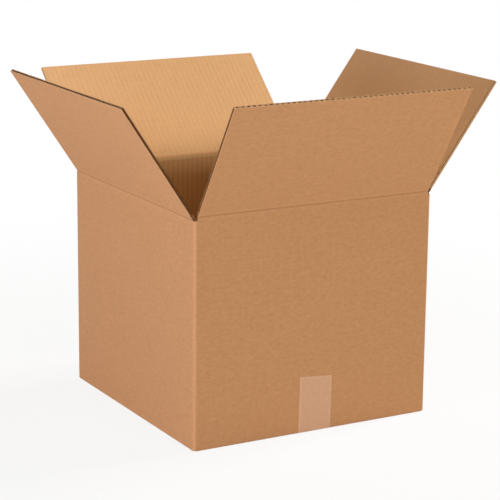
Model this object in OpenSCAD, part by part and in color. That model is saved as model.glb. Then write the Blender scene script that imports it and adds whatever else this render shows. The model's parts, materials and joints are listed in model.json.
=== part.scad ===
// Open shipping carton, in millimetres.
// One blank of corrugated board, folded into four walls, closed at the base and open at the top.
// The origin is on the floor under the middle of the base. The front wall faces -Y.

/* [Inside size] */
// Inside length, from the left wall to the right wall
inside_l = 342; // [200:1:600]
// Inside width, from the front wall to the back wall
inside_w = 342; // [200:1:600]
// Inside height, from the base to the underside of the closed top
inside_h = 287; // [120:1:500]

/* [Corrugated board] */
// Thickness of the whole board
board_t = 4; // [3:0.1:5]
// Thickness of each flat liner
liner_t = 0.35; // [0.2:0.05:0.5]
// Thickness of the wavy sheet between the liners
medium_t = 0.3; // [0.2:0.05:0.5]
// Distance from one flute to the next
flute_pitch = 7.8; // [6:0.1:9]
// Width of the glue line where a flute meets its liner
glue_line = 1; // [0.6:0.1:1.6]
// How far the flutes are open behind a cut edge
flute_depth = 30; // [5:1:60]

/* [Folds and slots] */
// Width of the slots that part the flaps
slot_w = 10; // [9:0.5:14]
// How far each slot runs past the lower score line
slot_overcut = 1; // [0:0.1:3]
// Outside radius of the four upright folds
corner_r = 4.5; // [2:0.1:6]
// Inside radius of the four upright folds
corner_inner_r = 1; // [0.5:0.1:1.5]
// Outside radius of the folds at the base
base_r = 2.5; // [1:0.1:3.5]
// Rounding at the closed end of each slot
slot_end_r = 2; // [1:0.1:3]
// Thickness of the board where a score line has crushed it
score_t = 1.2; // [0.8:0.1:2]
// How far the crushing reaches on each side of a score line
crush_l = 6; // [4:0.5:8]
// Radius of the bead that the outer liner makes along a worked fold
crease_r = 0.4; // [0.3:0.05:0.5]
// Play left in each scored hinge
crease_gap = 0.15; // [0.05:0.05:0.3]
// Seam left where two flaps meet over the middle
seam_gap = 3; // [1:0.5:8]
// Play between two flaps that lie on each other
layer_gap = 0.2; // [0.1:0.05:0.5]

/* [Glue tab] */
// Width of the tab that joins the blank's two ends
tab_w = 35; // [25:1:50]
// Thickness of the tab, which is pressed thinner than the board
tab_t = 3; // [2:0.1:4]
// How much shorter the tab is at its free edge, at each end
tab_taper = 9; // [3:1:15]
// Clearance from the tab to the base and to the closed top
tab_clear = 4; // [2:0.5:10]

/* [Packing tape] */
// Width of the tape
tape_w = 48; // [36:1:75]
// Thickness of the film
tape_t = 0.1; // [0.05:0.01:0.2]
// Offset of the tape from the middle of the box, to the right
tape_x = 2.2; // [-10:0.1:10]
// Height of the front tail at its left edge
tape_front_left = 77; // [40:1:110]
// Height of the front tail at its right edge
tape_front_right = 73; // [40:1:110]
// How far the front tail leans to the right over its height
tape_lean = 1.6; // [-4:0.1:4]
// Height of the back tail
tape_back = 72; // [40:1:110]
// Pitch of the teeth that the cutter leaves at both ends
tooth_pitch = 2; // [1:0.1:4]
// Depth of those teeth
tooth_h = 0.8; // [0.3:0.1:1.5]

/* [How far each top flap stands open] */
// Front flap, in degrees outwards from upright
front_angle = 31.5; // [0:0.5:90]
// Back flap, in degrees outwards from upright
back_angle = 47; // [0:0.5:90]
// Left flap, in degrees outwards from upright
left_angle = 33.7; // [0:0.5:90]
// Right flap, in degrees outwards from upright
right_angle = 36.4; // [0:0.5:90]

/* [Hidden] */
$fn = 64;

kraft = [0.76, 0.57, 0.41];
film = [0.80, 0.62, 0.48];

// Turn about Z that brings the front wall's frame onto each wall
front = 0;
right = 90;
back = 180;
left = 270;

outside_l = inside_l + 2 * board_t;
outside_w = inside_w + 2 * board_t;

// The left and right flaps close first, and the front and back ones lie on them,
// so the front and back score lines are one layer higher.
layer = board_t + layer_gap;
base_top = tape_t + layer + board_t;
fold_low = base_top + inside_h + board_t;
fold_high = fold_low + layer;

// Every flap reaches the middle of the box, less half of the seam
function flap_l(across) = across / 2 - seam_gap / 2;
// Every panel loses half a slot at each end
function panel_w(along) = along - slot_w;

end_panel_w = panel_w(outside_w);
face_panel_w = panel_w(outside_l);
end_flap_l = flap_l(outside_l);
face_flap_l = flap_l(outside_w);

// Air between the liner and the wavy sheet
flute_h = board_t - 2 * liner_t - medium_t;
// Straight pieces in the outline of one flute, and in the slope beside a score line
flute_steps = 6;
score_steps = 8;
// Cutting bodies reach this far past what they cut
past = 1;

// Puts a child drawn for the front wall onto the wall at a turn. There, x runs along the wall,
// y runs inwards from the wall's outer face and z is height.
module on_wall(turn) {
  half = (turn == front || turn == back) ? outside_w / 2 : outside_l / 2;
  rotate([0, 0, turn]) translate([0, -half, 0]) children();
}

// Sweeps a side section, drawn as [y, z], along x
module sweep_x(length) {
  rotate([90, 0, 90]) translate([0, 0, -length / 2]) linear_extrude(height = length) children();
}

module rounded_rect(l, w, r) {
  square([l - 2 * r, w], center = true);
  square([l, w - 2 * r], center = true);
  for (x = [-1, 1], y = [-1, 1])
    translate([x * (l / 2 - r), y * (w / 2 - r)]) circle(r = r);
}

// What a rounded edge of radius r takes off a square corner at the origin
module edge_waste(r) {
  difference() {
    translate([-past, -past]) square(r + past);
    translate([r, r]) circle(r = r);
  }
}

// One flute's hollow, between the liner on y = 0 and the crest of the wavy sheet
module flute_hollow(step) {
  half = (step - glue_line) / 2;
  wave = [for (i = [0 : flute_steps]) 2 * i / flute_steps - 1];
  polygon([for (u = wave) [u * half, liner_t + flute_h * (1 + cos(180 * u)) / 2]]);
}

// The hollows in a panel's section: a row under the outer liner and, half a step along,
// a row under the inner one. Both side cuts run down the middle of an outer hollow.
module board_hollows(width) {
  count = round(width / flute_pitch);
  step = width / count;
  for (i = [1 : count - 1])
    translate([i * step - width / 2, 0]) flute_hollow(step);
  for (i = [0.5 : count - 0.5])
    translate([i * step - width / 2, board_t]) mirror([0, 1]) flute_hollow(step);
}

module side_hollows(width) {
  step = width / round(width / flute_pitch);
  for (side = [-1, 1])
    translate([side * width / 2, 0]) flute_hollow(step);
}

// How the board thickens away from a score line, as [depth from the outer face, distance].
// It starts as a mitre, so that two crushed edges can close to a right angle, and then eases
// out to the board's full thickness.
function score_slope() = concat([[0, 0]], [for (i = [0 : score_steps])
  let (u = i / score_steps)
    [score_t + (board_t - score_t) * (1 - cos(180 * u)) / 2, score_t + (crush_l - score_t) * u]]);

// What the flutes leave open at a flap's free end and along its two side cuts. The flap is drawn
// with its outer face on y = 0 and its fold along x at the origin.
module flap_hollows(width, length) {
  translate([0, 0, length - flute_depth])
    linear_extrude(height = flute_depth + past) board_hollows(width);
  translate([0, 0, crush_l + crease_gap])
    linear_extrude(height = length) side_hollows(width);
}

// A round rod along x at the origin, about the line that a flap turns on
module hinge_rod(r, length) {
  rotate([0, 90, 0]) cylinder(r = r, h = length, center = true);
}

// A top flap standing upright, with its score line along x at the origin
module upright_flap(width, length) {
  root = [for (p = score_slope()) [p[0], p[1] + crease_gap]];
  difference() {
    sweep_x(width) polygon(concat(root, [[board_t, length], [0, length]]));
    hinge_rod(crease_r + crease_gap, width + 2 * past);
    flap_hollows(width, length);
  }
}

module top_flap(turn, fold_z, width, length, open) {
  color(kraft)
    on_wall(turn) translate([0, 0, fold_z]) rotate([open, 0, 0]) upright_flap(width, length);
}

// Four walls in one loop of board, square at the top and not yet slotted
module wall_loop() {
  translate([0, 0, tape_t]) difference() {
    linear_extrude(height = fold_high - tape_t) rounded_rect(outside_l, outside_w, corner_r);
    translate([0, 0, -past]) linear_extrude(height = fold_high + 2 * past)
      rounded_rect(inside_l, inside_w, corner_inner_r);
  }
}

// What a score line takes off the top of a wall, under its hinge
module score_waste(fold_z, width) {
  top = fold_high + past;
  slope = [for (p = score_slope()) [p[0], fold_z - p[1]]];
  sweep_x(width)
    polygon(concat([[-past, fold_z]], slope,
      [[board_t + past, fold_z - crush_l], [board_t + past, top], [-past, top]]));
}

// One slot's outline, rounded at its closed end at the origin and open upwards
module slot_outline() {
  translate([-slot_w / 2, slot_end_r]) square([slot_w, inside_h]);
  translate([slot_end_r - slot_w / 2, 0]) square([slot_w - 2 * slot_end_r, inside_h]);
  for (side = [-1, 1])
    translate([side * (slot_w / 2 - slot_end_r), slot_end_r]) circle(r = slot_end_r);
}

// A slot cut on an upright fold and then folded with it round a corner
module folded_slot() {
  intersection() {
    sweep_x(slot_w) slot_outline();
    rotate([0, 0, 90]) sweep_x(slot_w) slot_outline();
  }
}

// What the four upper and four lower slots take off the corners
module slot_waste() {
  for (x = [-1, 1], y = [-1, 1])
    translate([x * outside_l / 2, y * outside_w / 2, 0]) {
      translate([0, 0, fold_low - slot_overcut]) folded_slot();
      translate([0, 0, tape_t + slot_overcut]) mirror([0, 0, 1]) folded_slot();
    }
}

// A base flap, folded in flat at a level
module base_flap(turn, level, width, length) {
  on_wall(turn) translate([0, 0, level]) difference() {
    sweep_x(width) translate([base_r, 0]) square([length - base_r, board_t]);
    mirror([0, 1, 0]) rotate([90, 0, 0]) flap_hollows(width, length);
  }
}

// The blank's end, lapped inside the right wall at the back corner and glued to it
module glue_tab() {
  low = base_top + tab_clear;
  high = fold_low - board_t - tab_clear;
  corner = inside_w / 2;
  glued = board_t / 2;
  on_wall(right) translate([0, board_t + tab_t, 0]) rotate([90, 0, 0])
    linear_extrude(height = tab_t + glued)
      polygon([[corner + glued, low], [corner + glued, high], [corner, high],
        [corner - tab_w, high - tab_taper], [corner - tab_w, low + tab_taper], [corner, low]]);
}

module carton() {
  color(kraft) {
    difference() {
      wall_loop();
      for (turn = [front, back]) on_wall(turn) {
        score_waste(fold_high, face_panel_w);
        translate([0, 0, tape_t]) sweep_x(outside_l) edge_waste(base_r);
      }
      for (turn = [left, right]) on_wall(turn) {
        score_waste(fold_low, end_panel_w);
        translate([0, 0, tape_t]) sweep_x(outside_w) edge_waste(base_r);
      }
      slot_waste();
    }
    for (turn = [left, right]) {
      on_wall(turn) translate([0, 0, fold_low]) hinge_rod(crease_r, end_panel_w);
      base_flap(turn, tape_t, end_panel_w, end_flap_l);
    }
    for (turn = [front, back]) {
      on_wall(turn) translate([0, 0, fold_high]) hinge_rod(crease_r, face_panel_w);
      base_flap(turn, tape_t + layer, face_panel_w, face_flap_l);
    }
    glue_tab();
  }
}

// The outside of the box in side section, as [y, z], grown by a film
module outside_section(grow) {
  r = base_r + grow;
  half = outside_w / 2 + grow;
  tall = max(tape_front_left, tape_front_right, tape_back) + past;
  translate([-half, tape_t - grow]) {
    translate([r, 0]) square([2 * half - 2 * r, tall]);
    translate([0, r]) square([2 * half, tall - r]);
    for (y = [r, 2 * half - r]) translate([y, r]) circle(r = r);
  }
}

// One tail of the tape in front view, from below the floor up to its toothed end
module tail_outline(left_h, right_h, lean) {
  half = tape_w / 2;
  teeth = round(tape_w / tooth_pitch);
  cut = [for (i = [0 : 2 * teeth])
    let (u = i / (2 * teeth))
      [half + lean - u * tape_w, right_h + u * (left_h - right_h) - (i % 2) * tooth_h]];
  polygon(concat([[-half, 0], [-half, -past], [half, -past], [half, 0]], cut));
}

// One strip, stuck along the base seam, round both lower folds and up the front and back walls
module tape() {
  reach = outside_w / 2 + past;
  color(film) translate([tape_x, 0, 0]) intersection() {
    sweep_x(tape_w + 2 * abs(tape_lean) + past) difference() {
      outside_section(tape_t);
      outside_section(0);
    }
    union() {
      rotate([90, 0, 0]) linear_extrude(height = reach)
        tail_outline(tape_front_left, tape_front_right, tape_lean);
      rotate([90, 0, 180]) linear_extrude(height = reach) tail_outline(tape_back, tape_back, 0);
    }
  }
}

module flap_front() { top_flap(front, fold_high, face_panel_w, face_flap_l, front_angle); }
module flap_back() { top_flap(back, fold_high, face_panel_w, face_flap_l, back_angle); }
module flap_left() { top_flap(left, fold_low, end_panel_w, end_flap_l, left_angle); }
module flap_right() { top_flap(right, fold_low, end_panel_w, end_flap_l, right_angle); }

carton();
tape();
flap_front();
flap_back();
flap_left();
flap_right();
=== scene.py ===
import json
import math

import bpy
import numpy as np
from mathutils import Matrix, Vector


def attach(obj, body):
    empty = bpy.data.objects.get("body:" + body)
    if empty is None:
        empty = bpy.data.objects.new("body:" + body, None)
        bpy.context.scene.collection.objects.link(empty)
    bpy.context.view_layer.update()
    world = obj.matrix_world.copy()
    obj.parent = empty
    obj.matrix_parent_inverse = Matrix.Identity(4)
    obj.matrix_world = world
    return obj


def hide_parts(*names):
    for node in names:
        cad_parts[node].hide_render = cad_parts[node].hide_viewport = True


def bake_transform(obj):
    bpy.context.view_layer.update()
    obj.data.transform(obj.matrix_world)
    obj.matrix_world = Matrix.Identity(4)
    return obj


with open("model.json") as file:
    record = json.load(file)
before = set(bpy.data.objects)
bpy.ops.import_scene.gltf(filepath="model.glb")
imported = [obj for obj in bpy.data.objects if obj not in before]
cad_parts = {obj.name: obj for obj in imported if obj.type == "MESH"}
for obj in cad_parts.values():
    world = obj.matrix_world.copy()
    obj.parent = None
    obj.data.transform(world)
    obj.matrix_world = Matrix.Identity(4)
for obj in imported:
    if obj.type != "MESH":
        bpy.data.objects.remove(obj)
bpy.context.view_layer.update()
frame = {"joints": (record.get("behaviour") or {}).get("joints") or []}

mm = 0.001  # everything below is worked out in millimetres and made in metres


# Camera: the lens and the stand that the photo was taken from
cameraSetup = {
    "focalPixels": 1918.9,
    "imagePixels": 500,
    "sensorWidth": 36.0,
    "yaw": 29.504,
    "pitch": 13.861,
    "roll": 0.594,
    "distance": 2599.9,
    "aimHeight": 200.0,
    "aimRight": 2.236,
    "aimUp": 4.537,
    "clipEnd": 60,
}


def makeCamera(setup):
    yaw, pitch, roll = (math.radians(setup[name]) for name in ("yaw", "pitch", "roll"))
    level = math.cos(pitch)
    forward = Vector((math.sin(yaw) * level, math.cos(yaw) * level, -math.sin(pitch)))
    right = Vector((math.cos(yaw), -math.sin(yaw), 0))
    up = right.cross(forward)
    aim = Vector((0, 0, setup["aimHeight"])) + right * setup["aimRight"] + up * setup["aimUp"]
    place = aim - forward * setup["distance"]
    rolledRight = right * math.cos(roll) + up * math.sin(roll)
    rolledUp = up * math.cos(roll) - right * math.sin(roll)
    camera = bpy.data.objects.new("camera", bpy.data.cameras.new("camera"))
    camera.data.sensor_width = setup["sensorWidth"]
    camera.data.lens = setup["focalPixels"] / setup["imagePixels"] * setup["sensorWidth"]
    camera.data.clip_end = setup["clipEnd"]
    turn = Matrix((rolledRight, rolledUp, -forward)).transposed().to_4x4()
    camera.matrix_world = Matrix.Translation(place * mm) @ turn
    bpy.context.scene.collection.objects.link(camera)
    bpy.context.scene.camera = camera


makeCamera(cameraSetup)
print("camera placed")


# Board: what the sheet is made of. Depth 0 is the outer face of the outer liner.
board = {
    "thickness": 4.0,
    "liner": 0.35,
    "medium": 0.3,
    "flutePitch": 7.8,
    "outerSag": 0.045,  # how far the outer liner dips between two glue lines
    "innerSag": 0.08,
    "sagSpread": 0.35,  # how much the dips differ from flute to flute
    "sagEnd": 4.0,  # the dips fade out this close to a side cut
    "unevenness": 0.16,  # slow pressing marks over the whole sheet
    "unevenLengths": (47, 61, 29, 37),
    "outerPhase": 0.7,
    "innerPhase": 2.3,
    "outerCalm": (1.5, 5),  # where dips and marks begin beside a score, and the way to their full depth
    "innerCalm": (2.5, 4),
    "scoreThickness": 3.2,  # what the score line leaves of the board
    "crushReach": 6.0,
    "crushBelow": 2.4,  # the crushed board is back at its full thickness this far from the score
    "crushAbove": 1.6,
    "grooveDepth": 0.3,  # the line that shows outside along a score
    "grooveReach": 1.1,
    "grooveSpread": 0.3,  # how much that line differs along the score
    "grooveLengths": (3.1, 7.7),
    "bendReach": 1.0,  # the sheet turns over this much on each side of a score
    "burr": 0.4,  # fibres that the knife dragged along thicken the sheets at a cut
    "burrReach": 1.6,
    "burrSpread": 0.8,  # how much the burr differs from flute to flute
    "bite": 0.04,  # how far a flute's tip is pressed into the glue and the liner
    "mediumBack": 0.3,  # the fluted sheet springs back this far behind the liners' cut
    "pointsPerFlute": 8,
    "wavePointsPerFlute": 16,
    "seed": 11,
}

# Carton: the walls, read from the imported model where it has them
hinges = {joint["child"]: joint for joint in frame["joints"]}
sideTurns = {"front": 0, "right": 90, "back": 180, "left": 270}
# The blank's ends meet at the right back corner
blankOrder = {"front": 0, "right": 1, "back": -2, "left": -1}
carton = {
    "half": -hinges["flap_front"]["pos_m"][1] / mm,
    "floor": 0.1,  # the tape under the base holds the board this far up
    "layer": 4.2,  # one board lying on another
    "slotWidth": 10.0,
    "slotRound": 2.0,
    "slotOvercut": 1.0,
    "cornerRadius": 4.5,
    "cornerInnerRadius": 1.0,
    "baseRadius": 2.5,
    "baseSteps": 6,
    "seam": 3.0,
    "cornerSteps": 12,
    "cornerMark": 2.2,  # an upright fold is coloured like a score's band this far from the score
    "cornerMarkSpread": 0.5,
}
foldHeights = {side: hinges["flap_" + side]["pos_m"][2] / mm for side in sideTurns}
openAngles = {side: math.radians(-hinges["flap_" + side]["range_deg"][0] - 90) for side in sideTurns}
panelHalf = carton["half"] - carton["slotWidth"] / 2
flapLength = carton["half"] - carton["seam"] / 2
fluteCount = round(2 * panelHalf / board["flutePitch"])
fluteStep = 2 * panelHalf / fluteCount
baseTop = carton["floor"] + carton["layer"] + board["thickness"]
slotBottom = min(foldHeights.values()) - carton["slotOvercut"]
fluteChance = np.random.default_rng(board["seed"]).uniform(-1, 1, (len(sideTurns), fluteCount + 2))
farAway = 50.0  # stands for no score or cut nearby


def smooth(value):
    t = np.clip(value, 0, 1)
    return t * t * (3 - 2 * t)


def fluteNumber(x):
    return (x + panelHalf) / fluteStep


def chanceAt(side, number):
    return fluteChance[list(sideTurns).index(side)][np.clip(number.astype(int), 0, fluteCount + 1)]


def panelColumns(pointsPerFlute):
    return np.linspace(-panelHalf, panelHalf, fluteCount * pointsPerFlute + 1)[:, None]


def onWall(side, x, depth, height):
    # x runs along the wall, depth inwards from its outer face
    turn = math.radians(sideTurns[side])
    x, depth, height = np.broadcast_arrays(x, depth, height)
    inward = depth - carton["half"]
    along = x * math.cos(turn) - inward * math.sin(turn)
    across = x * math.sin(turn) + inward * math.cos(turn)
    return np.stack([along, across, height], -1)


def bent(side, x, depth, reach, angle):
    # A point of the flat sheet, reach above the score line, after the sheet is bent outwards there
    y = depth * np.cos(angle) - reach * np.sin(angle)
    z = depth * np.sin(angle) + reach * np.cos(angle)
    return onWall(side, x, y, foldHeights[side] + z)


def blankX(side, x):
    return x + blankOrder[side] * 2 * carton["half"]


def pressedUneven(u, v, phase):
    # Slow dips of the pressed sheet, from 0 to 1
    first, second, third, fourth = board["unevenLengths"]
    wave = np.sin(u / first + phase) * np.cos(v / second + 2 * phase)
    return (2 + (wave + np.sin(u / third - v / fourth + 3 * phase))) / 4


def lineOfSag(side, x, offset):
    # The flutes' own dips, from 0 at a glue line to about 1 between two of them
    number = fluteNumber(x) - offset
    chance = chanceAt(side, np.rint(number))
    ends = smooth((panelHalf - np.abs(x)) / board["sagEnd"])
    return (1 + np.cos(2 * np.pi * number)) / 2 * (1 + board["sagSpread"] * chance) * ends


def outerDepth(side, x, v):
    # v is measured from the top score line, below it negative
    u = blankX(side, x)
    start, reach = board["outerCalm"]
    away = smooth((np.abs(v) - start) / reach)
    short, long = board["grooveLengths"]
    groove = board["grooveDepth"] * np.exp(-((v / board["grooveReach"]) ** 2))
    groove = groove * (1 + board["grooveSpread"] * np.sin(u / short) * np.sin(u / long + 1))
    sag = board["outerSag"] * lineOfSag(side, x, 0)
    marks = board["unevenness"] * pressedUneven(u, v + foldHeights[side], board["outerPhase"])
    return groove + away * (sag + marks)


def innerDepth(side, x, v):
    start, reach = board["innerCalm"]
    away = smooth((np.abs(v) - start) / reach)
    crushed = np.clip(np.maximum(-v / board["crushBelow"], v / board["crushAbove"]), 0, 1)
    lost = (board["thickness"] - board["scoreThickness"]) * (1 + np.cos(np.pi * crushed)) / 2
    sag = board["innerSag"] * lineOfSag(side, x, 0.5)
    marks = board["unevenness"] * pressedUneven(blankX(side, x), v + foldHeights[side], board["innerPhase"])
    return board["thickness"] - lost - away * (sag + marks)


# Meshes: a piece is a list of sheets, each with an outer and an inner face
def newPiece():
    return {"points": [], "faces": [], "paints": [], "blank": [], "sheet": [], "count": 0}


def addSheet(piece, outer, inner, paints, keep=None, closed=False):
    # outer and inner are dictionaries of place, blank and sheet, each an array of across by rows by 3
    across, rows = outer["place"].shape[:2]
    outerIds = piece["count"] + np.arange(across * rows).reshape(across, rows)
    innerIds = outerIds + across * rows
    if closed:
        outerIds = np.concatenate([outerIds, outerIds[:1]])
        innerIds = np.concatenate([innerIds, innerIds[:1]])
    if keep is None:
        keep = np.ones((len(outerIds) - 1, rows - 1), bool)
    before, after = np.roll(keep, 1, axis=0), np.roll(keep, -1, axis=0)
    if not closed:
        before[0] = False
        after[-1] = False
    under, over = np.zeros_like(keep), np.zeros_like(keep)
    under[:, 1:] = keep[:, :-1]
    over[:, :-1] = keep[:, 1:]
    o00, o10, o01, o11 = outerIds[:-1, :-1], outerIds[1:, :-1], outerIds[:-1, 1:], outerIds[1:, 1:]
    i00, i10, i01, i11 = innerIds[:-1, :-1], innerIds[1:, :-1], innerIds[:-1, 1:], innerIds[1:, 1:]
    outerPaint, innerPaint, edgePaint = paints
    groups = [
        (keep, (o00, o10, o11, o01), outerPaint),
        (keep, (i00, i01, i11, i10), innerPaint),
        (keep & ~before, (o00, o01, i01, i00), edgePaint),
        (keep & ~after, (o10, i10, i11, o11), edgePaint),
        (keep & ~under, (o00, i00, i10, o10), edgePaint),
        (keep & ~over, (o01, o11, i11, i01), edgePaint),
    ]
    for where, corners, paint in groups:
        quads = np.stack([corner[where] for corner in corners], -1)
        piece["faces"].append(quads)
        piece["paints"].append(np.full(len(quads), paint))
    for face in (outer, inner):
        piece["points"].append(face["place"].reshape(-1, 3))
        piece["blank"].append(face["blank"].reshape(-1, 3))
        piece["sheet"].append(face["sheet"].reshape(-1, 3))
    piece["count"] += 2 * across * rows


def makeObject(piece, name, materials, sharpAngle=40):
    faces = np.concatenate(piece["faces"])
    used, renumbered = np.unique(faces, return_inverse=True)
    faces = renumbered.reshape(-1, 4)
    mesh = bpy.data.meshes.new(name)
    mesh.from_pydata((np.concatenate(piece["points"])[used] * mm).tolist(), [], faces.tolist())
    for label, key, scale in (("blankPlace", "blank", mm), ("sheetPlace", "sheet", 1)):
        values = (np.concatenate(piece[key])[used] * scale).astype(np.float32)
        attribute = mesh.attributes.new(label, "FLOAT_VECTOR", "POINT")
        attribute.data.foreach_set("vector", values.ravel())
    mesh.polygons.foreach_set("material_index", np.concatenate(piece["paints"]).astype(np.int32))
    for material in materials:
        mesh.materials.append(material)
    mesh.polygons.foreach_set("use_smooth", np.ones(len(faces), bool))
    mesh.set_sharp_from_angle(angle=math.radians(sharpAngle))
    mesh.update()
    made = bpy.data.objects.new(name, mesh)
    bpy.context.scene.collection.objects.link(made)
    print(name, "has", 2 * len(faces), "triangles")
    return made


# blankPlace holds where a point lies on the flat blank and how deep, in metres.
# sheetPlace holds its flute number, its distance from a score line and from a cut edge, in millimetres.
# The distance from a score line is negative inside the box.
def faceOf(place, u, v, depth, flute, fromFold, fromCut):
    shape = place.shape[:2]
    spread = [np.broadcast_to(value, shape) for value in (u, v, depth)]
    marks = [np.broadcast_to(value, shape) for value in (flute, fromFold, fromCut)]
    return {"place": place, "blank": np.stack(spread, -1), "sheet": np.stack(marks, -1)}


# Materials: the effects that they share are node groups
def addNode(tree, kind, inputs=None, **settings):
    made = tree.nodes.new(kind)
    for name, value in settings.items():
        setattr(made, name, value)
    for name, value in (inputs or {}).items():
        if isinstance(value, bpy.types.NodeSocket):
            tree.links.new(value, made.inputs[name])
        else:
            made.inputs[name].default_value = value
    return made


def addMath(tree, operation, first, second=0.0, third=0.0, clamp=False):
    inputs = {0: first, 1: second, 2: third}
    return addNode(tree, "ShaderNodeMath", inputs, operation=operation, use_clamp=clamp).outputs[0]


def addMix(tree, share, first, second, blend="MIX"):
    inputs = {0: share, 6: first, 7: second}
    return addNode(tree, "ShaderNodeMix", inputs, data_type="RGBA", blend_type=blend).outputs[2]


def addRange(tree, value, low, high, newLow=0.0, newHigh=1.0):
    inputs = {"Value": value, 1: low, 2: high, 3: newLow, 4: newHigh}
    return addNode(tree, "ShaderNodeMapRange", inputs, interpolation_type="SMOOTHSTEP").outputs[0]


def addNoise(tree, place, scale, detail, **more):
    inputs = {"Vector": place, "Scale": scale, "Detail": detail}
    inputs.update({name.capitalize(): value for name, value in more.items()})
    return addNode(tree, "ShaderNodeTexNoise", inputs).outputs["Fac"]


def newGroup(name, inputs, outputs):
    tree = bpy.data.node_groups.new(name, "ShaderNodeTree")
    for label, kind, value in inputs:
        socket = tree.interface.new_socket(label, in_out="INPUT", socket_type="NodeSocket" + kind)
        if value is not None:
            socket.default_value = value
    for label, kind in outputs:
        tree.interface.new_socket(label, in_out="OUTPUT", socket_type="NodeSocket" + kind)
    return tree, tree.nodes.new("NodeGroupInput").outputs, tree.nodes.new("NodeGroupOutput").inputs


def linear(red, green, blue):
    # A colour as it is seen in a picture, from 0 to 255, turned into a linear one
    def one(value):
        value /= 255
        return value / 12.92 if value <= 0.04045 else ((value + 0.055) / 1.055) ** 2.4
    return (one(red), one(green), one(blue), 1)


kraftPattern = {
    "cloudStretch": (0.55, 1, 9),
    "fibreStretch": (0.12, 1, 9),
    "cloudScale": 240,
    "fibreScale": 1300,
    "pulpScale": 900,
    "fleckScale": 2100,
    "fibreDistortion": 0.6,
    "fleckDistortion": 1.2,
    "roughness": 0.6,
    "fleckFrom": 0.68,
    "fleckTo": 0.76,
    "fibreHeight": 0.6,
    "pulpHeight": 0.4,
}


def makeKraftGroup(pattern):
    # Unbleached paper: slow clouds, fibres lying along the web and fine pulp
    inputs = [
        ("Place", "Vector", None),
        ("Dark Tone", "Color", (0.4, 0.2, 0.1, 1)),
        ("Light Tone", "Color", (0.6, 0.4, 0.2, 1)),
        ("Fleck Tone", "Color", (0.2, 0.1, 0.05, 1)),
        ("Clouds", "Float", 0.5),
        ("Fibres", "Float", 0.35),
        ("Pulp", "Float", 0.3),
        ("Flecks", "Float", 0.5),
    ]
    tree, given, made = newGroup("kraftPaper", inputs, [("Color", "Color"), ("Height", "Float")])

    def stretched(factors):
        vectors = {0: given["Place"], 1: factors}
        return addNode(tree, "ShaderNodeVectorMath", vectors, operation="MULTIPLY").outputs[0]

    rough = pattern["roughness"]
    combed = stretched(pattern["fibreStretch"])
    clouds = addNoise(tree, stretched(pattern["cloudStretch"]), pattern["cloudScale"], 4, roughness=rough)
    fibreDistortion = pattern["fibreDistortion"]
    fibres = addNoise(tree, combed, pattern["fibreScale"], 3, roughness=rough, distortion=fibreDistortion)
    pulp = addNoise(tree, given["Place"], pattern["pulpScale"], 2, roughness=rough)
    flecks = addNoise(tree, combed, pattern["fleckScale"], 1, distortion=pattern["fleckDistortion"])
    shade = 0.5
    for noise, weight in ((clouds, "Clouds"), (fibres, "Fibres"), (pulp, "Pulp")):
        shade = addMath(tree, "MULTIPLY_ADD", addMath(tree, "SUBTRACT", noise, 0.5), given[weight], shade)
    share = addMath(tree, "MAXIMUM", shade, 0.0, clamp=True)
    paper = addMix(tree, share, given["Dark Tone"], given["Light Tone"])
    fleckMask = addRange(tree, flecks, pattern["fleckFrom"], pattern["fleckTo"])
    fleckShare = addMath(tree, "MULTIPLY", fleckMask, given["Flecks"])
    tree.links.new(addMix(tree, fleckShare, paper, given["Fleck Tone"]), made["Color"])
    pulpHeight = addMath(tree, "MULTIPLY", pulp, pattern["pulpHeight"])
    tree.links.new(addMath(tree, "MULTIPLY_ADD", fibres, pattern["fibreHeight"], pulpHeight), made["Height"])
    return tree


linePattern = {"patchScale": 32, "patchFrom": 0.3, "patchTo": 0.7, "patchLow": 0.45, "sharpness": 1.6}


def makeFluteShadeGroup(pattern):
    # Painted shade of the flute dips on a liner: a darker line for each flute, where the liner dips between
    # two glue lines
    inputs = [
        ("Flute", "Float", 0.0),
        ("Shift", "Float", 0.0),
        ("Place", "Vector", None),
        ("Strength", "Float", 0.2),
    ]
    tree, given, made = newGroup("fluteShadeLines", inputs, [("Line", "Float"), ("Height", "Float")])
    turned = addMath(tree, "MULTIPLY", addMath(tree, "SUBTRACT", given["Flute"], given["Shift"]), 2 * math.pi)
    wave = addMath(tree, "MULTIPLY_ADD", addMath(tree, "COSINE", turned), 0.5, 0.5)
    patches = addNoise(tree, given["Place"], pattern["patchScale"], 2)
    uneven = addRange(tree, patches, pattern["patchFrom"], pattern["patchTo"], pattern["patchLow"], 1.0)
    strength = addMath(tree, "MULTIPLY", uneven, given["Strength"])
    line = addMath(tree, "MULTIPLY", addMath(tree, "POWER", wave, pattern["sharpness"]), strength)
    tree.links.new(line, made["Line"])
    tree.links.new(wave, made["Height"])
    return tree


scorePattern = {"raggedScale": 260, "wander": 1.1, "leastWidth": 0.45, "fadeFrom": 0.25}


def makeScoreGroup(pattern):
    # The pressed line along a score, which the liner paints darker as shade in the crease, and the wider band
    # that the roller crushed beside it
    inputs = [
        ("From Fold", "Float", 10.0),
        ("Place", "Vector", None),
        ("Line Width", "Float", 1.5),
        ("Band Width", "Float", 6.0),
    ]
    tree, given, made = newGroup("scoreMarks", inputs, [("Line", "Float"), ("Band", "Float")])
    ragged = addNoise(tree, given["Place"], pattern["raggedScale"], 3)
    wander = addMath(tree, "MULTIPLY_ADD", ragged, pattern["wander"], pattern["leastWidth"])
    for label, width in (("Line", "Line Width"), ("Band", "Band Width")):
        share = addMath(tree, "DIVIDE", given["From Fold"], addMath(tree, "MULTIPLY", given[width], wander))
        tree.links.new(addRange(tree, share, pattern["fadeFrom"], 1.0, 1.0, 0.0), made[label])
    return tree


wearPattern = {"raggedScale": 420, "raggedRoughness": 0.7, "fall": 0.5, "from": 0.1, "to": 0.6}


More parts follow.
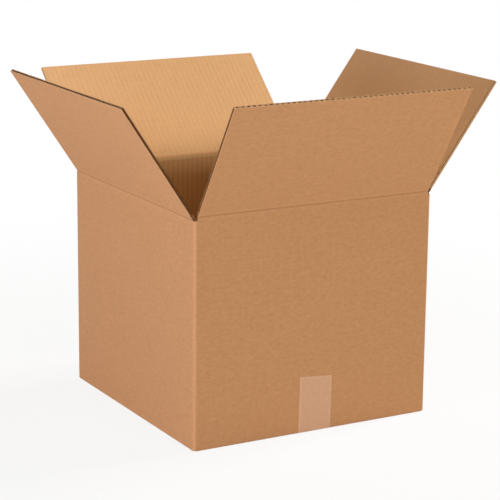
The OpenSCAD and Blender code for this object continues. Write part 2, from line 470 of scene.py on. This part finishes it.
def makeEdgeGroup(pattern):
    # Scuffed fibres near a cut edge
    inputs = [("From Cut", "Float", 10.0), ("Place", "Vector", None), ("Reach", "Float", 1.5)]
    tree, given, made = newGroup("edgeWear", inputs, [("Mask", "Float")])
    ragged = addNoise(tree, given["Place"], pattern["raggedScale"], 4, roughness=pattern["raggedRoughness"])
    wander = addMath(tree, "MULTIPLY", given["Reach"], ragged)
    near = addMath(tree, "SUBTRACT", wander, addMath(tree, "MULTIPLY", given["From Cut"], pattern["fall"]))
    tree.links.new(addRange(tree, near, pattern["from"], pattern["to"]), made["Mask"])
    return tree


kraftGroup = makeKraftGroup(kraftPattern)
fluteShadeGroup = makeFluteShadeGroup(linePattern)
scoreGroup = makeScoreGroup(scorePattern)
edgeGroup = makeEdgeGroup(wearPattern)

linerFinishes = {
    "outerLiner": {
        "dark": linear(173, 123, 81), "light": linear(209, 156, 112), "fleck": linear(128, 84, 52),
        "clouds": 0.7, "fibres": 0.56, "pulp": 0.32, "flecks": 0.3,
        "fluteShift": 0.0, "fluteShadeStrength": 0.035, "fluteShadeTone": linear(160, 110, 72),
        "scoreShadeLine": 0.36, "scoreShadeTone": linear(138, 92, 56),
        "scoreBand": 0.14, "bandTone": linear(212, 162, 120),
        "edgeWear": 0.3, "edgeTone": linear(212, 164, 120),
        "roughness": 0.86, "roughSpread": 0.12, "specular": 0.25, "bump": 0.22, "bumpReach": 0.06,
        "insideShadeShare": 0.0, "insideShadeTone": (1, 1, 1, 1), "insideShadeLines": 1.0,
    },
    "innerLiner": {
        "dark": linear(218, 164, 114), "light": linear(252, 204, 152), "fleck": linear(168, 118, 76),
        "clouds": 0.36, "fibres": 0.30, "pulp": 0.24, "flecks": 0.35,
        "fluteShift": 0.5, "fluteShadeStrength": 0.12, "fluteShadeTone": linear(176, 124, 78),
        "scoreShadeLine": 0.14, "scoreShadeTone": linear(160, 110, 68),
        "scoreBand": 0.1, "bandTone": linear(226, 176, 130),
        "edgeWear": 0.2, "edgeTone": linear(226, 178, 132),
        "roughness": 0.9, "roughSpread": 0.12, "specular": 0.25, "bump": 0.26, "bumpReach": 0.06,
        "insideShadeShare": 1.0, "insideShadeTone": (0.84, 0.93, 0.94, 1), "insideShadeLines": 2.6,
    },
}

# Painted shade: inside the box the inner liner is painted darker and less red, and its flute lines stronger,
# for the dimmer light in there. Between these distances from the score, this painted shade of the inside
# gives way to the flap's own tone
insideShadeFade = (-0.8, 0.2)


def startMaterial(name):
    material = bpy.data.materials.new(name)
    material.use_nodes = True
    tree = material.node_tree
    return material, tree, tree.nodes["Principled BSDF"]


def placeSockets(tree):
    blank = addNode(tree, "ShaderNodeAttribute", attribute_name="blankPlace").outputs["Vector"]
    sheet = addNode(tree, "ShaderNodeAttribute", attribute_name="sheetPlace").outputs["Vector"]
    parts = addNode(tree, "ShaderNodeSeparateXYZ", {0: sheet}).outputs
    return blank, parts["X"], parts["Y"], parts["Z"]


def placeGroup(tree, group, inputs):
    return addNode(tree, "ShaderNodeGroup", inputs, node_tree=group).outputs


def placeKraft(tree, place, finish):
    tones = {"Dark Tone": finish["dark"], "Light Tone": finish["light"], "Fleck Tone": finish["fleck"]}
    weights = {name.capitalize(): finish[name] for name in ("clouds", "fibres", "pulp", "flecks")}
    return placeGroup(tree, kraftGroup, {"Place": place, **tones, **weights})


def addBump(tree, shader, height, finish):
    inputs = {"Height": height, "Strength": finish["bump"], "Distance": finish["bumpReach"] * mm}
    bump = addNode(tree, "ShaderNodeBump", inputs)
    tree.links.new(bump.outputs["Normal"], shader.inputs["Normal"])


def makeLiner(name, finish):
    material, tree, shader = startMaterial(name)
    place, flute, fold, fromCut = placeSockets(tree)
    paper = placeKraft(tree, place, finish)
    fromFold = addMath(tree, "ABSOLUTE", fold)
    # Painted shade: this mask marks the inside of the box, where the liner is darkened and its flute lines
    # strengthened
    inside = addRange(tree, fold, *insideShadeFade, finish["insideShadeShare"], 0.0)
    added = finish["fluteShadeStrength"] * (finish["insideShadeLines"] - 1)
    strength = addMath(tree, "MULTIPLY_ADD", inside, added, finish["fluteShadeStrength"])
    lineInputs = {"Flute": flute, "Shift": finish["fluteShift"], "Place": place, "Strength": strength}
    lines = placeGroup(tree, fluteShadeGroup, lineInputs)
    score = placeGroup(tree, scoreGroup, {"From Fold": fromFold, "Place": place})
    wear = placeGroup(tree, edgeGroup, {"From Cut": fromCut, "Place": place})
    # Painted shade: a darker line along each flute dip, stronger inside the box
    color = addMix(tree, lines["Line"], paper["Color"], finish["fluteShadeTone"])
    # The score's line is painted darker as shade in the crease
    for mask, weight, tone in (
        (score["Band"], "scoreBand", "bandTone"),
        (score["Line"], "scoreShadeLine", "scoreShadeTone"),
        (wear["Mask"], "edgeWear", "edgeTone"),
    ):
        color = addMix(tree, addMath(tree, "MULTIPLY", mask, finish[weight]), color, finish[tone])
    # Painted shade: inside the box the colour is multiplied darker than on the flaps
    color = addMix(tree, inside, color, finish["insideShadeTone"], blend="MULTIPLY")
    tree.links.new(color, shader.inputs["Base Color"])
    spread = finish["roughSpread"]
    rough = addMath(tree, "MULTIPLY_ADD", paper["Height"], spread, finish["roughness"] - spread / 2)
    tree.links.new(rough, shader.inputs["Roughness"])
    shader.inputs["Specular IOR Level"].default_value = finish["specular"]
    addBump(tree, shader, paper["Height"], finish)
    return material


# The fluted medium is painted darker than its own kraft, as shade inside the flute channels seen at the cuts
shadedMediumFinish = {
    "dark": linear(98, 62, 35), "light": linear(132, 88, 53), "fleck": linear(76, 46, 26),
    "clouds": 0.6, "fibres": 0.5, "pulp": 0.4, "flecks": 0.4,
    "roughness": 0.95, "specular": 0.2, "bump": 0.4, "bumpReach": 0.08,
}


def makeMedium(finish):
    material, tree, shader = startMaterial("shadedFlutedMedium")
    place = placeSockets(tree)[0]
    paper = placeKraft(tree, place, finish)
    tree.links.new(paper["Color"], shader.inputs["Base Color"])
    shader.inputs["Roughness"].default_value = finish["roughness"]
    shader.inputs["Specular IOR Level"].default_value = finish["specular"]
    addBump(tree, shader, paper["Height"], finish)
    return material


edgeFinishes = {
    # The cut board's tones are darker than its liners, partly as painted shade of the flute channels
    "cutBoard": {
        "dark": linear(146, 98, 60), "light": linear(192, 142, 98), "fleck": linear(100, 62, 36),
        "clouds": 0.5, "fibres": 0.7, "pulp": 0.7, "flecks": 0.5, "core": 0.9, "coreShadeTone": linear(84, 52, 30),
        "roughness": 0.96, "specular": 0.15, "bump": 0.6, "bumpReach": 0.2,
    },
    "cutPaper": {
        "dark": linear(172, 122, 80), "light": linear(238, 192, 146), "fleck": linear(120, 78, 48),
        "clouds": 0.9, "fibres": 0.7, "pulp": 0.7, "flecks": 0.4, "core": 0.0, "coreShadeTone": linear(84, 52, 30),
        "roughness": 0.96, "specular": 0.15, "bump": 0.6, "bumpReach": 0.2,
    },
}
corePattern = {"from": 0.30, "to": 0.42, "brokenScale": 700, "brokenFrom": 0.3, "brokenTo": 0.6, "least": 0.4}


def makeCutEdge(name, finish, pattern):
    # Raw edges, with a dark core painted along the middle of the cut. Where the board is crushed shut, its
    # liners are paler lines beside the dark medium; where the solid mesh is cut at full thickness, the core
    # is painted shade of the open flute channels that it lacks.
    material, tree, shader = startMaterial(name)
    place = placeSockets(tree)[0]
    paper = placeKraft(tree, place, finish)
    depth = addNode(tree, "ShaderNodeSeparateXYZ", {0: place}).outputs["Z"]
    share = addMath(tree, "DIVIDE", depth, board["thickness"] * mm)
    middle = addMath(tree, "ABSOLUTE", addMath(tree, "SUBTRACT", share, 0.5))
    core = addRange(tree, middle, pattern["from"], pattern["to"], 1.0, 0.0)
    broken = addNoise(tree, place, pattern["brokenScale"], 3)
    least = pattern["least"] * finish["core"]
    left = addRange(tree, broken, pattern["brokenFrom"], pattern["brokenTo"], least, finish["core"])
    core = addMath(tree, "MULTIPLY", core, left)
    tree.links.new(addMix(tree, core, paper["Color"], finish["coreShadeTone"]), shader.inputs["Base Color"])
    shader.inputs["Roughness"].default_value = finish["roughness"]
    shader.inputs["Specular IOR Level"].default_value = finish["specular"]
    addBump(tree, shader, addMath(tree, "SUBTRACT", paper["Height"], core), finish)
    return material


materials = [makeLiner(name, finish) for name, finish in linerFinishes.items()]
materials.append(makeMedium(shadedMediumFinish))
materials += [makeCutEdge(name, finish, corePattern) for name, finish in edgeFinishes.items()]
outerPaint, innerPaint, mediumPaint, edgePaint, paperPaint = range(len(materials))
print("board materials made")


# Flaps: three sheets, the middle one wavy.
# A side cut along a flute's flank shuts it, and one along its middle leaves it open.
# -1 is the cut at the lower x.
sideCutBurrs = {("right", -1): 1.45, ("back", 1): 1.45, ("front", -1): 0.1}
# How far the knife pushed the outer liner into the flutes along a flap's free edge, from 0 to 1
edgeShuts = {"front": 0.95, "back": 0.4, "left": 0.0, "right": 0.2}
waveSwing = board["thickness"] / 2 - board["liner"] - board["medium"] / 2 + board["bite"]


def waveDepth(x):
    return board["thickness"] / 2 + waveSwing * np.cos(2 * np.pi * fluteNumber(x))


def burrAt(side, x, fromEdge):
    # What the knife adds to a sheet's thickness near its free edge and its side cuts
    low, high = (sideCutBurrs.get((side, end), board["burr"]) for end in (-1, 1))
    fromSide = panelHalf - np.abs(x)
    edgeBurr = board["burr"] * smooth(1 - fromEdge / board["burrReach"])
    return np.maximum(edgeBurr, np.where(x < 0, low, high) * smooth(1 - fromSide / board["burrReach"]))


def flapBoard(piece, side, place, start, rows, wavePoints, fold=1):
    # place(x, depth, reach) puts a point of the flat flap where the flap lies, fold is -1 inside the box
    reach = np.array([[start + share * (flapLength - start) for share in rows]])
    height = reach + foldHeights[side]
    x = panelColumns(board["pointsPerFlute"])
    u = blankX(side, x)
    fromCut = np.minimum(panelHalf - np.abs(x), flapLength - reach)
    outer, inner = outerDepth(side, x, reach), innerDepth(side, x, reach)
    nearEdge = smooth(1 - (flapLength - reach) / board["burrReach"])
    liner = board["liner"] + burrAt(side, x, flapLength - reach)
    pushed = edgeShuts[side] * nearEdge * np.maximum(waveDepth(x) - liner, 0)
    chance = chanceAt(side, np.floor(fluteNumber(x)))
    innerLiner = liner + board["burr"] * board["burrSpread"] * chance * nearEdge

    def face(depth):
        spot = place(*np.broadcast_arrays(x, depth, reach))
        return faceOf(spot, u, height, depth, fluteNumber(x), fold * reach, np.minimum(fromCut, farAway))

    addSheet(piece, face(outer), face(outer + liner + pushed), (outerPaint, innerPaint, paperPaint))
    addSheet(piece, face(inner - innerLiner), face(inner), (outerPaint, innerPaint, paperPaint))

    reach = reach - board["mediumBack"] * (reach - start) / (flapLength - start)
    x = panelColumns(wavePoints)
    u = blankX(side, x)
    fromCut = np.minimum(panelHalf - np.abs(x), flapLength - reach)
    centre = waveDepth(x)
    slope = -waveSwing * 2 * np.pi / fluteStep * np.sin(2 * np.pi * fluteNumber(x))
    lean = np.hypot(1, slope)
    half = (board["medium"] + np.minimum(burrAt(side, x, flapLength - reach), board["burr"])) / 2

    def waveFace(sign):
        depth = centre + sign * half / lean
        spot = place(*np.broadcast_arrays(x - sign * half * slope / lean, depth, reach))
        return faceOf(spot, u, height, depth, fluteNumber(x), fold * reach, np.minimum(fromCut, farAway))

    addSheet(piece, waveFace(-1), waveFace(1), (mediumPaint, mediumPaint, paperPaint))


flapRows = [0, 0.03, 0.1, 0.2, 0.32, 0.44, 0.56, 0.68, 0.8, 0.9, 0.97, 0.99, 0.996, 1]
for side, angle in openAngles.items():
    piece = newPiece()
    flapBoard(piece, side, lambda x, depth, reach: bent(side, x, depth, reach, angle), board["crushReach"],
              flapRows, board["wavePointsPerFlute"])
    made = makeObject(piece, "flap_%s_board" % side, materials)
    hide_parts("flap_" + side)
    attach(made, "flap_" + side)


# Folds: the crushed strip that joins a wall to its flap and bends between them
lowerRows = np.array([-6, -5, -4, -3.2, -2.5, -2, -1.5, -1.1, -0.75, -0.4, 0])
foldRows = np.concatenate([lowerRows, -lowerRows[-2::-1]])[None, :]
for side, angle in openAngles.items():
    piece = newPiece()
    x = panelColumns(board["pointsPerFlute"])
    reach = foldRows * board["crushReach"] / foldRows.max()
    turn = angle * smooth((reach + board["bendReach"]) / (2 * board["bendReach"]))
    faces = []
    for depth in (outerDepth(side, x, reach), innerDepth(side, x, reach)):
        place = bent(side, x, depth, reach, turn)
        fromCut = np.minimum(panelHalf - np.abs(x), farAway)
        height = reach + foldHeights[side]
        faces.append(faceOf(place, blankX(side, x), height, depth, fluteNumber(x), reach, fromCut))
    addSheet(piece, *faces, (outerPaint, innerPaint, edgePaint))
    made = makeObject(piece, "fold_%s_strip" % side, materials)
    below = onWall(side, 0, 0, foldHeights[side] - board["bendReach"])
    above = bent(side, 0, 0, board["bendReach"], angle)
    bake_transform(made)
print("flaps and folds made")


# Walls: one loop of board round the box, slotted at its corners
wallHeights = [2.6, 6, 14, 30, 60, 100, 140, 180, 220, 255, 280, 289]
stripStarts = sorted({height - board["crushReach"] for height in foldHeights.values()})


def slotOutline(away):
    # How far a slot's closed end rises towards its sides
    past = np.maximum(np.abs(away) - (carton["slotWidth"] / 2 - carton["slotRound"]), 0)
    return carton["slotRound"] - np.sqrt(np.maximum(carton["slotRound"] ** 2 - past ** 2, 0))


def cornerPath(share, straight, radius, depth):
    # Along a panel's face past its end, round the fold and onto the next wall
    distance = share * (2 * straight + radius * math.pi / 2)
    turned = np.clip((distance - straight) / radius, 0, math.pi / 2)
    beyond = np.maximum(distance - straight - radius * math.pi / 2, 0)
    x = panelHalf + np.minimum(distance, straight) + radius * np.sin(turned)
    return x, depth + radius * (1 - np.cos(turned)) + beyond, turned


def panelPart(side, rows, lastRow):
    # A panel between two slots, up to the strip that belongs to its fold
    x = panelColumns(board["pointsPerFlute"])
    height = np.repeat(rows, len(x), 0)
    height[:, -1] = min(slotBottom + carton["slotRound"], foldHeights[side])
    v = height - foldHeights[side]
    outer, inner = outerDepth(side, x, v), innerDepth(side, x, v)
    outerPlace = onWall(side, x, outer + baseTuck(height), height)
    innerPlace = onWall(side, x, inner, height)
    u, flute, fold = blankX(side, x), fluteNumber(x), np.maximum(v, -farAway)
    outerFace = faceOf(outerPlace, u, height, outer, flute, fold, farAway)
    innerFace = faceOf(innerPlace, u, height, inner, flute, fold, farAway)
    keep = np.repeat((np.arange(rows.size - 1) < lastRow)[None, :], len(x) - 1, 0)
    return outerFace, innerFace, keep


def cornerPart(side, nextSide, rows):
    # The upright fold between two panels, from the slot below to the slot above
    shares = np.linspace(0, 1, carton["cornerSteps"] + 1)[1:-1][:, None]
    away = (shares - 0.5) * carton["slotWidth"]
    top = slotBottom + slotOutline(away)
    bottom = np.maximum(carton["floor"] + carton["slotOvercut"] - slotOutline(away), carton["floor"])
    height = np.repeat(rows, len(shares), 0)
    squeeze = (wallHeights[0] - bottom) / (wallHeights[0] - carton["floor"])
    height = np.where(height < wallHeights[0], bottom + (height - carton["floor"]) * squeeze, height)
    lower = side if foldHeights[side] < foldHeights[nextSide] else nextSide
    lowerHalf = shares < 0.5 if lower == side else shares > 0.5
    height[:, -1:] = np.where(lowerHalf, np.minimum(top, foldHeights[lower]), top)
    tuck = baseTuck(height)
    straight = carton["slotWidth"] / 2 - carton["cornerRadius"]
    x, depth, turned = cornerPath(shares, straight, carton["cornerRadius"], 0)
    outerPlace = onWall(side, x - tuck * np.sin(turned), depth + tuck * np.cos(turned), height)
    x, depth, turned = cornerPath(shares, 0, carton["cornerInnerRadius"], board["thickness"])
    innerPlace = onWall(side, x, depth, height)
    u = blankX(side, panelHalf + shares * carton["slotWidth"])
    fold = -carton["cornerMark"] - carton["cornerMarkSpread"] * np.abs(away)
    outerFace = faceOf(outerPlace, u, height, 0, fluteCount, fold, farAway)
    innerFace = faceOf(innerPlace, u, height, board["thickness"], fluteCount, fold, farAway)
    return outerFace, innerFace, np.ones((len(shares) + 1, rows.size - 1), bool)


def wallLoop(piece):
    rounding = np.linspace(0, math.pi / 2, carton["baseSteps"])[:-1]
    low = carton["floor"] + carton["baseRadius"] * (1 - np.cos(rounding))
    rows = np.concatenate([low, wallHeights, stripStarts, [0]])[None, :]
    sides = list(sideTurns)
    parts = []
    for index, side in enumerate(sides):
        stripStart = stripStarts.index(foldHeights[side] - board["crushReach"])
        parts.append(panelPart(side, rows, len(low) + len(wallHeights) + stripStart))
        parts.append(cornerPart(side, sides[(index + 1) % len(sides)], rows))
    outer, inner, keep = zip(*parts)
    joined = [{key: np.concatenate([part[key] for part in face]) for key in face[0]}
              for face in (outer, inner)]
    addSheet(piece, *joined, (outerPaint, innerPaint, edgePaint), keep=np.concatenate(keep), closed=True)


def baseTuck(height):
    # How far the outer face has turned in at a height, going round the lower fold
    radius = carton["baseRadius"]
    under = np.maximum(carton["floor"] + radius - height, 0)
    return radius - np.sqrt(np.maximum(radius ** 2 - under ** 2, 0))


# Base: four flaps folded flat, the outer pair from the left and right walls
baseRows = [0, 0.33, 0.66, 0.99, 1]


def baseFlap(piece, side, level):
    def place(x, depth, reach):
        return onWall(side, x, reach, level + depth)

    flapBoard(piece, side, place, board["thickness"], baseRows, board["pointsPerFlute"], fold=-1)


# Glue tab: the blank's end, lapped inside the right wall
tab = {
    "width": 35.0,
    "thickness": 3.0,
    "taper": 9.0,
    "clear": 4.0,
    "sunk": 0.3,  # how far it reaches into the wall that it is glued to
    "dent": 1.4,  # how many times deeper the flutes show on it than on the wall
    "steps": 24,
    "rows": 14,
}


def glueTab(piece):
    corner = carton["half"] - board["thickness"]
    share = np.linspace(0, 1, tab["steps"] + 1)[:, None]
    x = corner - tab["width"] * (1 - share)
    low = baseTop + tab["clear"] + tab["taper"] * (1 - share)
    high = foldHeights["right"] - board["thickness"] - tab["clear"] - tab["taper"] * (1 - share)
    rise = np.linspace(0, 1, tab["rows"])[None, :]
    height = low + (high - low) * rise
    fromCut = np.minimum(np.minimum(height - low, high - height), tab["width"] * share)
    dent = board["innerSag"] * tab["dent"] * (1 + np.cos(2 * np.pi * x / fluteStep)) / 2
    faces = []
    for depth in (board["thickness"] - tab["sunk"], board["thickness"] + tab["thickness"] - dent):
        place = onWall("right", x, depth, height)
        faces.append(faceOf(place, blankX("back", x), height, depth, x / fluteStep, -farAway, fromCut))
    addSheet(piece, *faces, (outerPaint, innerPaint, edgePaint))


piece = newPiece()
wallLoop(piece)
for side in ("left", "right"):
    baseFlap(piece, side, carton["floor"])
for side in ("front", "back"):
    baseFlap(piece, side, carton["floor"] + carton["layer"])
glueTab(piece)
made = makeObject(piece, "carton_board", materials)
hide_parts("carton")
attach(made, "carton")
print("walls, base and glue tab made")


# Tape: one strip of film, from the front wall under the base and up the back
tape = {
    "width": 48.0,
    "film": 0.1,
    "offset": 2.2,
    "frontLeft": 77.0,
    "frontRight": 73.0,
    "lean": 1.6,
    "back": 72.0,
    "toothPitch": 2.0,
    "toothDepth": 0.8,
    "toothRow": 1.2,  # the first row below the teeth
    "grip": 0.03,  # how far the film is pressed into the board
    "wrinkles": 0.09,
    "creaseLengths": (2.3, 9, 4.1, 11, 23),
    "steps": 144,
    "turnRows": 6,
    "frontRows": [-70, -60, -45, -30, -18, -9, -4],
    "baseRows": [20, 50, 90, 130, 170, 171.5, 173, 174.5, 176, 210, 250, 290, 320],
    "backRows": [3, 9, 20, 35, 50, 60, 66],
}


def tapePath(travel, lift):
    # travel is measured from the floor line of the front wall, upwards negative, and lift away from the board
    radius = carton["baseRadius"]
    quarter = radius * math.pi / 2
    straight = 2 * (carton["half"] - radius)
    level = carton["floor"] + radius
    firstTurn = np.clip((travel + level) / radius, 0, math.pi / 2)
    secondTurn = np.clip((travel + level - quarter - straight) / radius, 0, math.pi / 2)
    turned = firstTurn + secondTurn
    rising = np.maximum(-(travel + level), 0)
    across = np.clip(travel + level - quarter, 0, straight)
    leaving = np.maximum(travel + level - 2 * quarter - straight, 0)
    y = -carton["half"] + radius * (1 - np.cos(firstTurn)) + across + radius * np.sin(secondTurn)
    z = level + rising - radius * np.sin(firstTurn) + radius * (1 - np.cos(secondTurn)) + leaving
    return y - lift * np.cos(turned), z - lift * np.sin(turned)


def makeTape():
    half = tape["width"] / 2
    share = np.linspace(0, 1, tape["steps"] + 1)[:, None]
    perTooth = tape["steps"] / (tape["width"] / tape["toothPitch"])
    step = np.arange(tape["steps"] + 1)[:, None] / perTooth
    tooth = tape["toothDepth"] * (1 - np.abs(2 * (step % 1) - 1))
    frontTop = tape["frontLeft"] + share * (tape["frontRight"] - tape["frontLeft"]) - tooth
    radius = carton["baseRadius"]
    level = carton["floor"] + radius
    around = radius * math.pi + 2 * (carton["half"] - radius)
    finish = around - level + tape["back"] - level - tooth
    fixed = tape["frontRows"] + [-level]
    fixed += [-level + radius * turn for turn in np.linspace(0, math.pi / 2, tape["turnRows"])[1:]]
    fixed += tape["baseRows"]
    fixed += [around - level - radius * turn for turn in np.linspace(math.pi / 2, 0, tape["turnRows"])]
    fixed += [around - level + climb for climb in tape["backRows"]]
    fixed = np.repeat(np.array(fixed)[None, :], len(share), 0)
    toothRow = tape["toothRow"]
    travel = np.concatenate([-frontTop, -frontTop + toothRow, fixed, finish - toothRow, finish], 1)
    up = np.maximum(-travel, 0)
    x = tape["offset"] - half + tape["width"] * share + tape["lean"] * up / tape["frontLeft"]
    first, second, third, fourth, fifth = tape["creaseLengths"]
    creases = np.sin(x / first + travel / second) * np.sin(travel / third - x / fourth)
    creases = creases * np.sin(travel / fifth + 1)
    wrinkle = tape["wrinkles"] * np.clip(creases, 0, 1) * (travel < -level)
    faces = []
    for lift in (-tape["grip"], tape["film"]):
        y, z = tapePath(travel, lift + wrinkle * (lift > 0))
        place = np.stack(np.broadcast_arrays(x, y, z), -1)
        edge = np.minimum(half * (1 - np.abs(2 * share - 1)), np.minimum(travel + frontTop, finish - travel))
        faces.append(faceOf(place, x, travel, lift, fluteNumber(x), farAway, np.minimum(edge, farAway)))
    piece = newPiece()
    filmPaint = 0
    addSheet(piece, faces[1], faces[0], (filmPaint, filmPaint, filmPaint))
    return piece


tapeFinish = {
    "dark": linear(190, 140, 103), "light": linear(214, 167, 130), "fleck": linear(160, 114, 80),
    "clouds": 0.5, "fibres": 0.14, "pulp": 0.1, "flecks": 0.1,
    "edgeTone": linear(220, 175, 140), "rimFrom": 0.4, "rimReach": 4.0, "rim": 0.25,
    "bubbleTone": linear(216, 170, 134), "bubbles": 0.35,
    "bubbleScale": 160, "bubbleFrom": 0.56, "bubbleTo": 0.7,
    "lineShadeTone": linear(184, 134, 98), "lineShadeStrength": 0.06,
    "roughness": 0.42, "looseRoughness": 0.1, "coat": 0.35, "coatRoughness": 0.3,
    "bump": 0.3, "bumpReach": 0.08,
}


def makeTapeMaterial(finish):
    material, tree, shader = startMaterial("tapeFilm")
    place, flute, _, fromCut = placeSockets(tree)
    paper = placeKraft(tree, place, finish)
    lineInputs = {"Flute": flute, "Shift": 0.0, "Place": place, "Strength": finish["lineShadeStrength"]}
    lines = placeGroup(tree, fluteShadeGroup, lineInputs)
    # Painted shade: the board's flute dips show through the film as darker lines
    color = addMix(tree, lines["Line"], paper["Color"], finish["lineShadeTone"])
    bubbles = addNoise(tree, place, finish["bubbleScale"], 3, roughness=0.6)
    loose = addRange(tree, bubbles, finish["bubbleFrom"], finish["bubbleTo"])
    color = addMix(tree, addMath(tree, "MULTIPLY", loose, finish["bubbles"]), color, finish["bubbleTone"])
    rim = addRange(tree, fromCut, finish["rimFrom"], finish["rimReach"], finish["rim"], 0.0)
    color = addMix(tree, rim, color, finish["edgeTone"])
    tree.links.new(color, shader.inputs["Base Color"])
    rough = addMath(tree, "MULTIPLY_ADD", loose, finish["looseRoughness"], finish["roughness"])
    tree.links.new(rough, shader.inputs["Roughness"])
    shader.inputs["Coat Weight"].default_value = finish["coat"]
    shader.inputs["Coat Roughness"].default_value = finish["coatRoughness"]
    addBump(tree, shader, addMath(tree, "ADD", loose, lines["Height"]), finish)
    return material


made = makeObject(makeTape(), "tape_film", [makeTapeMaterial(tapeFinish)])
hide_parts("tape")
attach(made, "carton")
print("tape made")


# Studio: a pale floor, a faint sky and six lamps
studio = {
    "floorSize": 40.0,
    "floorColor": (0.92, 0.92, 0.92, 1),
    "whiteNear": 0.86,  # how much of the floor is already white beside the box
    "whiteFrom": 0.3,
    "whiteTo": 1.3,
    "sky": 0.02,
    "skyColor": (1, 1, 1, 1),
    "lamps": {
        "key": {
            "place": (3.46, 0, 2.2), "aim": (0, 0, 0.2), "size": (1.3, 1.3),
            "watts": 154, "color": (1, 0.985, 0.91),
        },
        "front": {
            "place": (0.35, -2.85, 1.36), "aim": (0, 0, 0.2), "size": (1.4, 0.3),
            "watts": 30, "color": (1, 0.955, 0.82),
        },
        "fill": {
            "place": (-2.7, -0.35, 0.35), "aim": (0, 0, 0.15), "size": (1.8, 0.6),
            "watts": 23, "color": (0.87, 0.9, 1),
        },
        "side": {
            "place": (-2.6, -0.6, 1.55), "aim": (0, 0, 0.4), "size": (1.2, 0.5),
            "watts": 19, "color": (1, 0.96, 0.92),
        },
        "low": {
            "place": (-2.0, -1.2, 0.12), "aim": (0, 0, 0.1), "size": (1.2, 0.2),
            "watts": 14, "color": (0.87, 0.9, 1),
        },
        "rim": {
            "place": (0, 2.6, 1.75), "aim": (0, 0, 0.2), "size": (1.8, 1.2),
            "watts": 11, "color": (1, 1, 1),
        },
    },
}


def seenDirectly(tree):
    # White that shows to the camera and in reflections but lights nothing
    path = addNode(tree, "ShaderNodeLightPath").outputs
    seen = addMath(tree, "MAXIMUM", path["Is Camera Ray"], path["Is Glossy Ray"])
    return addMath(tree, "MAXIMUM", seen, path["Is Transmission Ray"])


def makeFloor():
    mesh = bpy.data.meshes.new("floor")
    half = studio["floorSize"] / 2
    corners = [(-half, -half, 0), (half, -half, 0), (half, half, 0), (-half, half, 0)]
    mesh.from_pydata(corners, [], [(0, 1, 2, 3)])
    floor = bpy.data.objects.new("floor", mesh)
    bpy.context.scene.collection.objects.link(floor)
    material, tree, shader = startMaterial("paleFloor")
    shader.inputs["Base Color"].default_value = studio["floorColor"]
    shader.inputs["Roughness"].default_value = 1
    shader.inputs["Specular IOR Level"].default_value = 0
    position = addNode(tree, "ShaderNodeNewGeometry").outputs["Position"]
    distance = addNode(tree, "ShaderNodeVectorMath", {0: position}, operation="LENGTH").outputs["Value"]
    far = addRange(tree, distance, studio["whiteFrom"], studio["whiteTo"], studio["whiteNear"], 1.0)
    share = addMath(tree, "MULTIPLY", far, seenDirectly(tree))
    white = addNode(tree, "ShaderNodeEmission", {"Color": (1, 1, 1, 1), "Strength": 1.0})
    mixed = addNode(tree, "ShaderNodeMixShader", {0: share, 1: shader.outputs[0], 2: white.outputs[0]})
    tree.links.new(mixed.outputs[0], tree.nodes["Material Output"].inputs["Surface"])
    mesh.materials.append(material)


def makeSky():
    world = bpy.data.worlds.new("studio")
    bpy.context.scene.world = world
    world.use_nodes = True
    tree = world.node_tree
    light = tree.nodes["Background"]
    light.inputs["Color"].default_value = studio["skyColor"]
    light.inputs["Strength"].default_value = studio["sky"]
    white = addNode(tree, "ShaderNodeBackground", {"Color": (1, 1, 1, 1), "Strength": 1.0})
    inputs = {0: seenDirectly(tree), 1: light.outputs[0], 2: white.outputs[0]}
    mixed = addNode(tree, "ShaderNodeMixShader", inputs)
    tree.links.new(mixed.outputs[0], tree.nodes["World Output"].inputs["Surface"])


def makeLamp(name, setup):
    data = bpy.data.lights.new(name, "AREA")
    data.shape = "RECTANGLE"
    data.size, data.size_y = setup["size"]
    data.energy = setup["watts"]
    data.color = setup["color"]
    lamp = bpy.data.objects.new(name, data)
    lamp.location = setup["place"]
    aim = Vector(setup["aim"]) - Vector(setup["place"])
    lamp.rotation_euler = aim.to_track_quat("-Z", "Y").to_euler()
    bpy.context.scene.collection.objects.link(lamp)


makeFloor()
makeSky()
for name, setup in studio["lamps"].items():
    makeLamp(name, setup)
bpy.context.scene.view_settings.view_transform = "Standard"
print("studio made")
